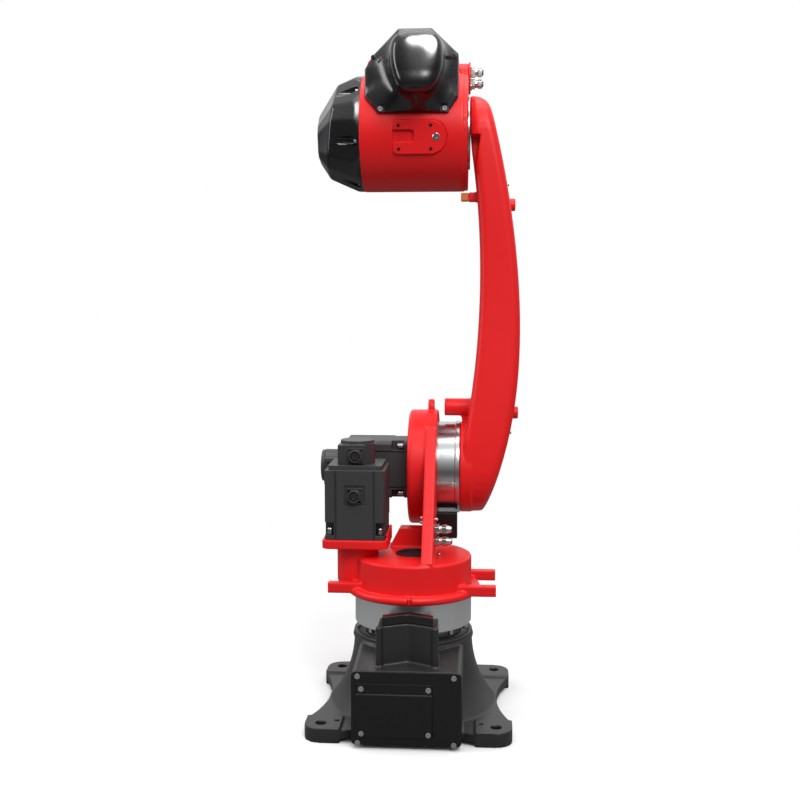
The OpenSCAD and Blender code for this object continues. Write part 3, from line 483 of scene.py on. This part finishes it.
def circle_seats(centre, radius, count, start, axis, plane):
    """Seats on a bolt circle, in mm; plane names the two axes of the circle."""
    seats = []
    for k in range(count):
        a = math.radians(start + 360.0 * k / count)
        place = Vector(centre)
        place["xyz".index(plane[0])] += radius * math.cos(a)
        place["xyz".index(plane[1])] += radius * math.sin(a)
        seats.append((place, axis))
    return seats


# Operators

class ROBOT_OT_finishes(bpy.types.Operator):
    """Make the paint, metal, plastic and rubber finishes"""
    bl_idname = "robot.finishes"
    bl_label = "Finishes"

    def execute(self, context):
        c = context.scene.robot_colours
        finish("red_gloss", tuple(c.red), roughness=0.38, spread=0.03, tint=0.03, grain=420, depth=0.03,
               shine=0.28)
        finish("cast_satin", tuple(c.cast), roughness=0.40, spread=0.07, tint=0.12, grain=520, depth=0.20)
        finish("sheet_satin", tuple(c.sheet), roughness=0.36, spread=0.05, tint=0.10, grain=700, depth=0.05,
               shine=0.4)
        finish("motor_satin", tuple(c.motor), roughness=0.44, spread=0.05, tint=0.08, grain=650, depth=0.08)
        finish("encoder_satin", tuple(c.motor), roughness=0.36, spread=0.05, tint=0.08, grain=650, depth=0.06)
        finish("cover_gloss", tuple(c.cover), roughness=0.20, spread=0.02, tint=0.10, grain=260, depth=0.008)
        finish("steel_upright", tuple(c.case), metallic=1.0, roughness=0.34, spread=0.07, tint=0.05,
               grain=8, depth=0.03, stretch=(1, 1, 160))
        finish("steel_cross", tuple(c.steel), metallic=1.0, roughness=0.20, spread=0.05, tint=0.05,
               grain=8, depth=0.02, stretch=(160, 1, 1))
        finish("steel_fore", tuple(c.steel), metallic=1.0, roughness=0.28, spread=0.06, tint=0.05,
               grain=8, depth=0.02, stretch=(1, 160, 1))
        finish("nickel_plate", tuple(c.nickel), metallic=1.0, roughness=0.20, spread=0.05, tint=0.06,
               grain=500, depth=0.03)
        finish("screw_finish", tuple(x * 0.8 for x in c.nickel), metallic=1.0, roughness=0.28, spread=0.06,
               tint=0.08, grain=700, depth=0.04)
        finish("screw_black", (0.02, 0.02, 0.021), metallic=0.6, roughness=0.36, spread=0.06, tint=0.1,
               grain=700, depth=0.04)
        finish("orange_elastic", tuple(c.orange), roughness=0.55, spread=0.06, tint=0.10, grain=420,
               depth=0.10)
        finish("rubber_black", tuple(c.rubber), roughness=0.62, spread=0.06, tint=0.12, grain=520, depth=0.12)
        return {"FINISHED"}


class ROBOT_OT_base(bpy.types.Operator):
    """Foot, pedestal and connection box"""
    bl_idname = "robot.base"
    bl_label = "Base"

    def execute(self, context):
        p = context.scene.robot_castings
        cast_skin("base_casting", "cast_satin", p.voxel, p.rounds, 0.32)
        machined_skin("box_cover", "sheet_satin", 1.2 * MM)
        sinks = [((x, -243, PANEL_Z[0]), FORWARD, 7.5, 4) for x in PANEL_X]
        machined_skin("connector_panel", "sheet_satin", 1.2 * MM, bays=sinks)
        machined_skin("swivel_stop", "cover_gloss", 2.0 * MM, 3)
        machined_skin("swivel_output", "steel_upright", p.break_edge)
        return {"FINISHED"}


class ROBOT_OT_turret(bpy.types.Operator):
    """Turret casting with its rings, cap, stop block and glands"""
    bl_idname = "robot.turret"
    bl_label = "Turret"

    def execute(self, context):
        p = context.scene.robot_castings
        cast_skin("turret", "red_gloss", p.voxel, p.rounds, 0.4,
                  notches=[((x, -143, 279), (1.8, 12, 30)) for x in (-4, 4)])
        machined_skin("swivel_reducer", "steel_upright", p.break_edge)
        machined_skin("shoulder_reducer", "steel_cross", p.break_edge)
        machined_skin("cable_cap", "rubber_black", p.break_edge)
        machined_skin("shoulder_stop", "sheet_satin", 2.0 * MM)
        machined_skin("turret_glands", "nickel_plate", 0.8 * MM)
        return {"FINISHED"}


class ROBOT_OT_motors(bpy.types.Operator):
    """Servo motors with encoders and sockets"""
    bl_idname = "robot.motors"
    bl_label = "Motors"

    def execute(self, context):
        for joint in ("swivel", "shoulder"):
            machined_skin(joint + "_motor", "motor_satin", 0.7 * MM)
            machined_skin(joint + "_encoder", "encoder_satin", 1.5 * MM)
            machined_skin(joint + "_sockets", "encoder_satin", 0.7 * MM)
        return {"FINISHED"}


class ROBOT_OT_lower_arm(bpy.types.Operator):
    """Bowed lower arm and its bumper"""
    bl_idname = "robot.lower_arm"
    bl_label = "Lower arm"

    def execute(self, context):
        p = context.scene.robot_castings
        cast_skin("lower_arm", "red_gloss", p.voxel, p.rounds + 1, 0.35)
        machined_skin("elbow_bumper", "orange_elastic", 2.0 * MM, 3)
        return {"FINISHED"}


class ROBOT_OT_elbow(bpy.types.Operator):
    """Elbow housing, plates, rings, forearm and wrist"""
    bl_idname = "robot.elbow"
    bl_label = "Elbow and forearm"

    def execute(self, context):
        p = context.scene.robot_castings
        cast_skin("elbow_housing", "red_gloss", p.voxel, p.rounds, 0.4)
        machined_skin("access_plate", "red_gloss", 1.6 * MM, 3)
        machined_skin("outlet_plate", "red_gloss", 1.5 * MM, 3)
        machined_skin("outlet_glands", "nickel_plate", 0.8 * MM)
        machined_skin("elbow_reducer", "steel_cross", p.break_edge)
        machined_skin("roll_reducer", "steel_fore", p.break_edge)
        cast_skin("forearm", "red_gloss", p.voxel, p.rounds * 2, 0.25)
        cast_skin("wrist_body", "red_gloss", p.voxel, p.rounds, 0.5)
        machined_skin("wrist_ring", "steel_fore", p.break_edge)
        machined_skin("tool_flange", "steel_fore", p.break_edge * 0.6)
        return {"FINISHED"}


class ROBOT_OT_covers(bpy.types.Operator):
    """Gloss covers of the elbow and the fork"""
    bl_idname = "robot.covers"
    bl_label = "Covers"

    def execute(self, context):
        self.rear()
        self.side()
        for side in ("left", "right"):
            machined_skin("fork_cover_" + side, "cover_gloss", 2.5 * MM, 3)
        return {"FINISHED"}

    def rear(self):
        """Rear cover: a skirt on the seat's outline that flares up into a domed shield."""
        outline = [Vector(p) for p in ((-30, 97), (-86, 40), (-103, 12), (-103, -45), (-72, -83), (79, -83),
                                       (100, -50), (100, 42), (42, 97))]
        middle = Vector((14, 9))
        seat_x, seat_y = -7.0, 62.0
        barrel_r, barrel_ease = 129.3, 24.0
        shield_w, shield_h, shield_power, dome_power = 58.3, 64.0, 3.2, 3.4
        skirt, flare, length, turns = 10.0, 62.0, 128.0, 240

        def seat_reach(a):
            way = Vector((math.cos(a), math.sin(a)))
            found = 0.0
            for p, q in zip(outline, outline[1:] + outline[:1]):
                edge = q - p
                cross = way.x * edge.y - way.y * edge.x
                along = p - middle
                if abs(cross) > 1e-9:
                    share = (along.x * way.y - along.y * way.x) / cross
                    if -1e-6 <= share <= 1 + 1e-6:
                        found = max(found, (along.x * edge.y - along.y * edge.x) / cross)
            return found

        def shield_reach(a):
            rise = math.sin(a)
            width = shield_w * (1 + 0.125 * (rise - math.sqrt(rise * rise + 0.09)))
            across = (abs(math.cos(a)) / width) ** shield_power
            return (across + (abs(rise) / shield_h) ** shield_power) ** (-1 / shield_power)

        angles = [k * math.tau / turns for k in range(turns)]
        crisp = [seat_reach(a) for a in angles]
        span = range(-18, 19)
        share = [math.exp(-(d / 7.0) ** 2) for d in span]
        eased = [sum(w * crisp[(k + d) % turns] for d, w in zip(span, share)) / sum(share)
                 for k in range(turns)]

        def place(k, reach, lift):
            x = seat_x + middle.x + reach * math.cos(angles[k])
            z = ROLL_Z + middle.y + reach * math.sin(angles[k])
            barrel = ARM_Y - math.sqrt(max(0.0, barrel_r ** 2 - (z - ELBOW_Z) ** 2))
            ease = barrel_ease * min(1.0, lift / 20.0) + 1e-6
            meet = max(0.0, ease - abs(seat_y - barrel)) ** 2 / (4 * ease)
            return (x, min(seat_y, barrel) - meet - lift, z)

        def row(lift):
            t = min(1.0, max(0.0, lift - skirt) / flare)
            u = max(0.0, lift - skirt - flare) / (length - skirt - flare)
            dome = max(0.0, 1 - u ** dome_power) ** (1 / dome_power)
            points = []
            for k, a in enumerate(angles):
                fall = 2.4 - 1.5 * math.exp(-((math.degrees(a) - 270) / 14) ** 2)
                blend = min(1.0, 4 * t)
                seat = crisp[k] * (1 - blend) + eased[k] * blend
                shield = shield_reach(a)
                rim = 1.4 * math.exp(-((lift - skirt) / 1.8) ** 2)
                points.append(place(k, shield * dome + (seat - shield) * (1 - t) ** fall - rim, lift))
            return points

        rows = [[place(k, crisp[k] * n / 10, 0.0) for k in range(turns)] for n in range(1, 10)]
        rows += [row(lift) for lift in (0.0, 4.0, 7.0, 8.2, 9.0, 9.7, 10.3, 11.0, 12.0)]
        rows += [row(skirt + flare * n / 32) for n in range(2, 32)]
        rows += [row(skirt + flare + (length - skirt - flare) * math.sin(math.radians(90 * n / 34)))
                 for n in range(34)]
        bays = [((x, 36, z), BACK, radius, 120) for radius, places in ((10, LOW_SCREWS), (6.4, HIGH_SCREWS))
                for x, z in places]
        grid_skin("rear_cover", "cover_gloss", rows, bays, 2, lambda p: p.y < 30)

    def side(self):
        """Side cover: a six-sided cap with cut corners, kept within the barrel's radius."""
        half = math.radians(21)
        base_x, most = -122, 128

        def ring(depth, lean, lift, apothem):
            reach = apothem / math.cos(half)
            corners = [a + s * half for a in SIDE_ANGLES for s in (-1, 1)]
            points = [Vector((lean * reach * math.sin(a) + base_x - depth, ARM_Y - reach * math.cos(a),
                              ELBOW_Z + lift + reach * math.sin(a))) for a in corners]
            result = []
            for k, (p, q) in enumerate(zip(points, points[1:] + points[:1])):
                steps = 8 if k % 2 else 20
                result += [p.lerp(q, n / steps) for n in range(steps)]
            return result

        def between(low, high, share):
            return [inside(p.lerp(q, share)) for p, q in zip(low, high)]

        def inside(p):
            out = Vector((0, p.y - ARM_Y, p.z - ELBOW_Z))
            return p if out.length <= most else Vector((p.x, ARM_Y, ELBOW_Z)) + out * (most / out.length)

        end_depth, end_lift = 102, -11
        base, brow, end = ring(0, 0, 0, 126), ring(67, 0.114, 6, 99), ring(end_depth, 0, end_lift, 49)
        hub = [Vector((base_x, ARM_Y, ELBOW_Z))] * len(base)
        tip = [Vector((base_x - end_depth, ARM_Y, ELBOW_Z + end_lift))] * len(base)
        rows = [between(hub, base, n / 8) for n in range(1, 8)]
        rows += [between(base, brow, n / 24) for n in range(24)]
        rows += [between(brow, end, n / 18) for n in range(18)]
        rows += [between(end, tip, n / 12) for n in range(12)]
        bays = [(place, LEFT, 11, 98) for place in SIDE_SCREWS]
        grid_skin("side_cover", "cover_gloss", rows, bays, 3, lambda p: p.x < -123.5)


class ROBOT_OT_fasteners(bpy.types.Operator):
    """Screws of every body, with the fittings of sockets and glands"""
    bl_idname = "robot.fasteners"
    bl_label = "Fasteners"

    def execute(self, context):
        s = context.scene.robot_fasteners
        cover = [((x, -238, z), BACK) for x in (-98, 95.5) for z in (13, 150.5)]
        cover += [((x, -239, z), BACK) for x in PANEL_X for z in PANEL_Z]
        screws("box_screws", "base", cover, s.cover_head, 2.9 * MM)
        ring = circle_seats((0, 0, 204), 118, 12, -75, DOWN, "xy")
        screws("ring_screws", "turret", ring, s.ring_head, 11 * MM)
        self.motors(s)
        self.arm(s)
        self.elbow(s)
        return {"FINISHED"}

    def motors(self, s):
        square = [(a, b) for a in (-MOTOR_BOLT, MOTOR_BOLT) for b in (-MOTOR_BOLT, MOTOR_BOLT)]
        flange = [((MOTOR_X + x, y, 398), UP) for x, y in square]
        flange += [((-28, ARM_Y + y, SHOULDER_Z + z), LEFT) for y, z in square]
        washer = [(0, 0), (9, 0), (9, 2), (8.4, 2.6), (0, 2.6)]
        turned_piece("motor_washers", washer, flange, "screw_black", "turret")
        screws("motor_screws", "turret", flange, s.motor_head, 15 * MM)
        sockets = [(MOTOR_X, -66, 484), (MOTOR_X, -43, 567), (-111, 104, SHOULDER_Z), (-192, 127, SHOULDER_Z)]
        corners = [((x + dx, y, z + dz), BACK) for x, y, z in sockets for dx in (-13, 13) for dz in (-13, 13)]
        screws("socket_screws", "turret", corners, s.small_head, 1.6 * MM, "screw_black")
        core = [(0, 0), (9.6, 0), (9.6, 4), (9, 4.6), (0, 4.6)]
        turned_piece("socket_cores", core, [((x, y - 3.6, z), BACK) for x, y, z in sockets], "rubber_black",
                     "turret")
        pins = [seat for x, y, z in sockets for seat in circle_seats((x, y - 7.5, z), 5.8, 6, 0, BACK, "xz")]
        pin = [(0, 0), (1.1, 0), (1.1, 3.4), (0.6, 4.2), (0, 4.2)]
        turned_piece("socket_pins", pin, pins, "nickel_plate", "turret")
        glands = [((84.5, -40, 384 + 26 * k), RIGHT) for k in (0, 1)]
        seal = [(0, -3), (6.2, -3), (6.2, 0.6), (5.4, 1.6), (3.4, 1.6), (3.0, 0.6), (0, 0.6)]
        turned_piece("turret_gland_seals", seal, glands, "rubber_black", "turret")
        outlets = [((145, OUTLET_Y, OUTLET_Z + 13 * k), RIGHT) for k in (-1, 1)]
        turned_piece("outlet_gland_seals", seal, outlets, "rubber_black", "elbow")
        clips = [((22.5, -10, 428), LEFT), ((22.5, -10, 418), LEFT), ((47.5, -10, 425), RIGHT),
                 ((58, -28, 348), UP)]
        screws("clip_screws", "turret", clips, 3.4 * MM, 7 * MM)

    def arm(self, s):
        seats = circle_seats((138.8, ARM_Y, SHOULDER_Z), 45, 12, 0, RIGHT, "yz")
        seats += circle_seats((140, ARM_Y, ELBOW_Z), 36, 10, 0, RIGHT, "yz")
        screws("arm_bolts", "lower_arm", seats, s.ring_head, 9 * MM, "screw_black")
        screws("arm_clip_screws", "lower_arm", [((209.9, 120, 602), RIGHT), ((200.1, 120, 1156), RIGHT)],
               4 * MM, 4.5 * MM)

    def elbow(self, s):
        rear, upper = ([((x, 37, z), BACK) for x, z in places] for places in (LOW_SCREWS, HIGH_SCREWS))
        side = [(place, LEFT) for place in SIDE_SCREWS]
        screws("elbow_cover_screws", "elbow", rear + side, s.cover_head, 6 * MM)
        screws("upper_cover_screws", "elbow", upper, s.cover_head, 2.5 * MM, "screw_black")
        outlet = circle_seats((117, OUTLET_Y, OUTLET_Z), 29, 4, 45, RIGHT, "yz")
        screws("outlet_screws", "elbow", outlet, 3.2 * MM, 3 * MM)
        tilt, plate_r, plate_x = math.radians(11), 130, 10
        out = (0, -math.cos(tilt), -math.sin(tilt))

        def on_plate(x, z):
            return ((plate_x + x, ARM_Y - plate_r * math.cos(tilt) - z * math.sin(tilt),
                     ELBOW_Z - plate_r * math.sin(tilt) + z * math.cos(tilt)), out)

        screws("access_screws", "elbow", [on_plate(x, z) for x in (-46, 23.7) for z in (-25, 25)], 3.6 * MM,
               0.8 * MM, "screw_black")
        turned_piece("access_plug", [(0, -1), (8, -1), (8, 0.6), (7.2, 1.4), (3, 1.4), (2.4, 0.8), (0, 0.8)],
                     [on_plate(35.7, 0)], "nickel_plate", "elbow")
        fork = [((74 * k, y, ROLL_Z + z), (k, 0, 0))
                for k in (-1, 1) for y in (694, 800, 905) for z in (-28, 28)]
        screws("fork_cover_screws", "elbow", fork, 3.6 * MM, 2.4 * MM, "screw_black")


class ROBOT_OT_stage(bpy.types.Operator):
    """Floor, lights, surround and camera"""
    bl_idname = "robot.stage"
    bl_label = "Stage"

    def execute(self, context):
        scene = context.scene
        s = scene.robot_stage
        self.floor()
        self.lights(scene, s)
        self.surround(scene, s)
        self.camera(scene, s)
        scene.view_settings.view_transform = "Standard"
        return {"FINISHED"}

    def floor(self):
        """A pale disc that fades out, and throws little light back up at the arm."""
        radius, fade_start, fade_end, thrown = 2.4, 0.55, 2.2, 0.22
        bm = bmesh.new()
        bmesh.ops.create_circle(bm, cap_ends=True, segments=96, radius=radius)
        mesh = bpy.data.meshes.new("floor")
        bm.to_mesh(mesh)
        bm.free()
        floor = add_object("floor", mesh)
        paint = finish("floor_white", (0.86, 0.86, 0.86), roughness=0.8, spread=0.03, tint=0.01,
                       grain=40, depth=0.0, cloud=0.6)
        nodes, link = paint.node_tree.nodes, paint.node_tree.links.new
        reach = nodes.new("ShaderNodeVectorMath")
        reach.operation = "LENGTH"
        fade = nodes.new("ShaderNodeMapRange")
        fade.interpolation_type = "SMOOTHSTEP"
        fade.inputs["From Min"].default_value = fade_start
        fade.inputs["From Max"].default_value = fade_end
        clear = nodes.new("ShaderNodeBsdfTransparent")
        dim = nodes.new("ShaderNodeBsdfDiffuse")
        dim.inputs["Color"].default_value = (thrown, thrown, thrown, 1)
        path = nodes.new("ShaderNodeLightPath")
        ground = nodes.new("ShaderNodeMixShader")
        blend = nodes.new("ShaderNodeMixShader")
        coords = next(n for n in nodes if n.type == "TEX_COORD")
        shader = next(n for n in nodes if n.type == "BSDF_PRINCIPLED")
        out = next(n for n in nodes if n.type == "OUTPUT_MATERIAL")
        link(coords.outputs["Object"], reach.inputs[0])
        link(reach.outputs["Value"], fade.inputs["Value"])
        link(fade.outputs["Result"], blend.inputs[0])
        link(path.outputs["Is Camera Ray"], ground.inputs[0])
        link(dim.outputs["BSDF"], ground.inputs[1])
        link(shader.outputs["BSDF"], ground.inputs[2])
        link(ground.outputs[0], blend.inputs[1])
        link(clear.outputs["BSDF"], blend.inputs[2])
        link(blend.outputs[0], out.inputs["Surface"])
        floor.data.materials.append(paint)

    def lights(self, scene, s):
        """Soft lights, and one that shows only in the gloss of the elbow's covers."""
        def soft_light(name, place, target, size, power, only=None):
            lamp = bpy.data.lights.new(name, "AREA")
            lamp.shape = "ELLIPSE" if only else "RECTANGLE"
            lamp.size, lamp.size_y = size
            lamp.energy = power
            obj = bpy.data.objects.new(name, lamp)
            obj.location = place
            aim = Vector(target) - Vector(place)
            obj.rotation_euler = aim.to_track_quat("-Z", "Y").to_euler()
            if only:
                obj.visible_diffuse = False
                obj.light_linking.receiver_collection = only
            scene.collection.objects.link(obj)

        covers = bpy.data.collections.new("gloss_covers")
        for node in ("rear_cover", "side_cover"):
            covers.objects.link(bpy.data.objects[node + "_skin"])
        soft_light("gleam", (1.25, -1.75, 3.4), (0, -0.06, 1.4), (4.6, 3.6), s.gleam, covers)
        soft_light("key", (0.95, -2.45, 2.85), (0, 0.0, 1.1), (1.5, 1.4), s.key)
        soft_light("strip", (-2.3, -0.3, 1.9), (0, 0.0, 1.2), (0.5, 1.7), s.strip)
        soft_light("top", (0.0, 0.2, 3.3), (0, 0.2, 0.9), (2.0, 2.0), s.top)

    def surround(self, scene, s):
        """A studio that is dark below, bright above and beyond the arm, and white to the camera."""
        dark, level, wall_grey = (0.10, 0.10, 0.10, 1), (0.22, 0.22, 0.22, 1), (0.9, 0.9, 0.9, 1)
        white = (1, 1, 1, 1)
        world = bpy.data.worlds.new("studio")
        world.use_nodes = True
        tree = world.node_tree
        tree.nodes.clear()
        add, link = tree.nodes.new, tree.links.new

        def eased(start, end):
            node = add("ShaderNodeMapRange")
            node.interpolation_type = "SMOOTHSTEP"
            node.inputs["From Min"].default_value = start
            node.inputs["From Max"].default_value = end
            return node

        out = add("ShaderNodeOutputWorld")
        seen = add("ShaderNodeBackground")
        seen.inputs["Color"].default_value = white
        lit = add("ShaderNodeBackground")
        lit.inputs["Strength"].default_value = s.sky
        way = add("ShaderNodeTexCoord")
        split = add("ShaderNodeSeparateXYZ")
        height = add("ShaderNodeMapRange")
        height.inputs["From Min"].default_value = -1.0
        ramp = add("ShaderNodeValToRGB")
        steps = ramp.color_ramp.elements
        steps[0].position, steps[0].color = 0.46, dark
        steps[1].position, steps[1].color = 1.0, white
        steps.new(0.54).color = level
        behind = eased(0.1, 0.7)
        above = eased(-0.05, 0.30)
        both = add("ShaderNodeMath")
        both.operation = "MULTIPLY"
        wall = add("ShaderNodeMix")
        wall.data_type = "RGBA"
        wall.inputs[MIX_B].default_value = wall_grey
        path = add("ShaderNodeLightPath")
        mix = add("ShaderNodeMixShader")
        link(way.outputs["Generated"], split.inputs[0])
        link(split.outputs["Z"], height.inputs["Value"])
        link(height.outputs["Result"], ramp.inputs[0])
        link(split.outputs["Y"], behind.inputs["Value"])
        link(split.outputs["Z"], above.inputs["Value"])
        link(behind.outputs["Result"], both.inputs[0])
        link(above.outputs["Result"], both.inputs[1])
        link(both.outputs[0], wall.inputs[0])
        link(ramp.outputs["Color"], wall.inputs[MIX_A])
        link(wall.outputs[MIX_RESULT], lit.inputs["Color"])
        link(path.outputs["Is Camera Ray"], mix.inputs[0])
        link(lit.outputs[0], mix.inputs[1])
        link(seen.outputs[0], mix.inputs[2])
        link(mix.outputs[0], out.inputs["Surface"])
        scene.world = world

    def camera(self, scene, s):
        """The photo's viewpoint: behind the arm and a little to its right."""
        place, yaw, pitch = (0.1448, -2.3912, 0.8978), 0.0727, 0.0888
        ahead = Vector((-math.sin(yaw) * math.cos(pitch), math.cos(yaw) * math.cos(pitch), -math.sin(pitch)))
        side = Vector((math.cos(yaw), math.sin(yaw), 0))
        upward = side.cross(ahead)
        lens = bpy.data.cameras.new("camera")
        lens.lens = s.lens
        lens.sensor_width = 36.0
        camera = bpy.data.objects.new("camera", lens)
        turn = Matrix((side, upward, -ahead)).transposed().to_4x4()
        camera.matrix_world = Matrix.Translation(place) @ turn
        scene.collection.objects.link(camera)
        scene.camera = camera


class ROBOT_PT_panel(bpy.types.Panel):
    """Lists the pieces of the robot arm"""
    bl_idname = "ROBOT_PT_panel"
    bl_label = "Robot Arm"
    bl_space_type = "VIEW_3D"
    bl_region_type = "UI"
    bl_category = "Robot Arm"

    def draw(self, context):
        for operator in OPERATORS:
            self.layout.operator(operator.bl_idname)


OPERATORS = (ROBOT_OT_finishes, ROBOT_OT_base, ROBOT_OT_turret, ROBOT_OT_motors, ROBOT_OT_lower_arm,
             ROBOT_OT_elbow, ROBOT_OT_covers, ROBOT_OT_fasteners, ROBOT_OT_stage)
GROUPS = {"robot_colours": RobotColours, "robot_castings": RobotCastings,
          "robot_fasteners": RobotFasteners, "robot_stage": RobotStage}


def register():
    for cls in (*GROUPS.values(), *OPERATORS, ROBOT_PT_panel):
        bpy.utils.register_class(cls)
    for name, group in GROUPS.items():
        setattr(bpy.types.Scene, name, PointerProperty(type=group))


def unregister():
    for name in GROUPS:
        delattr(bpy.types.Scene, name)
    for cls in reversed((*GROUPS.values(), *OPERATORS, ROBOT_PT_panel)):
        bpy.utils.unregister_class(cls)


def main():
    register()
    bpy.ops.robot.finishes()
    bpy.ops.robot.base()
    bpy.ops.robot.turret()
    bpy.ops.robot.motors()
    bpy.ops.robot.lower_arm()
    bpy.ops.robot.elbow()
    bpy.ops.robot.covers()
    bpy.ops.robot.fasteners()
    bpy.ops.robot.stage()


if __name__ == "__main__":
    main()
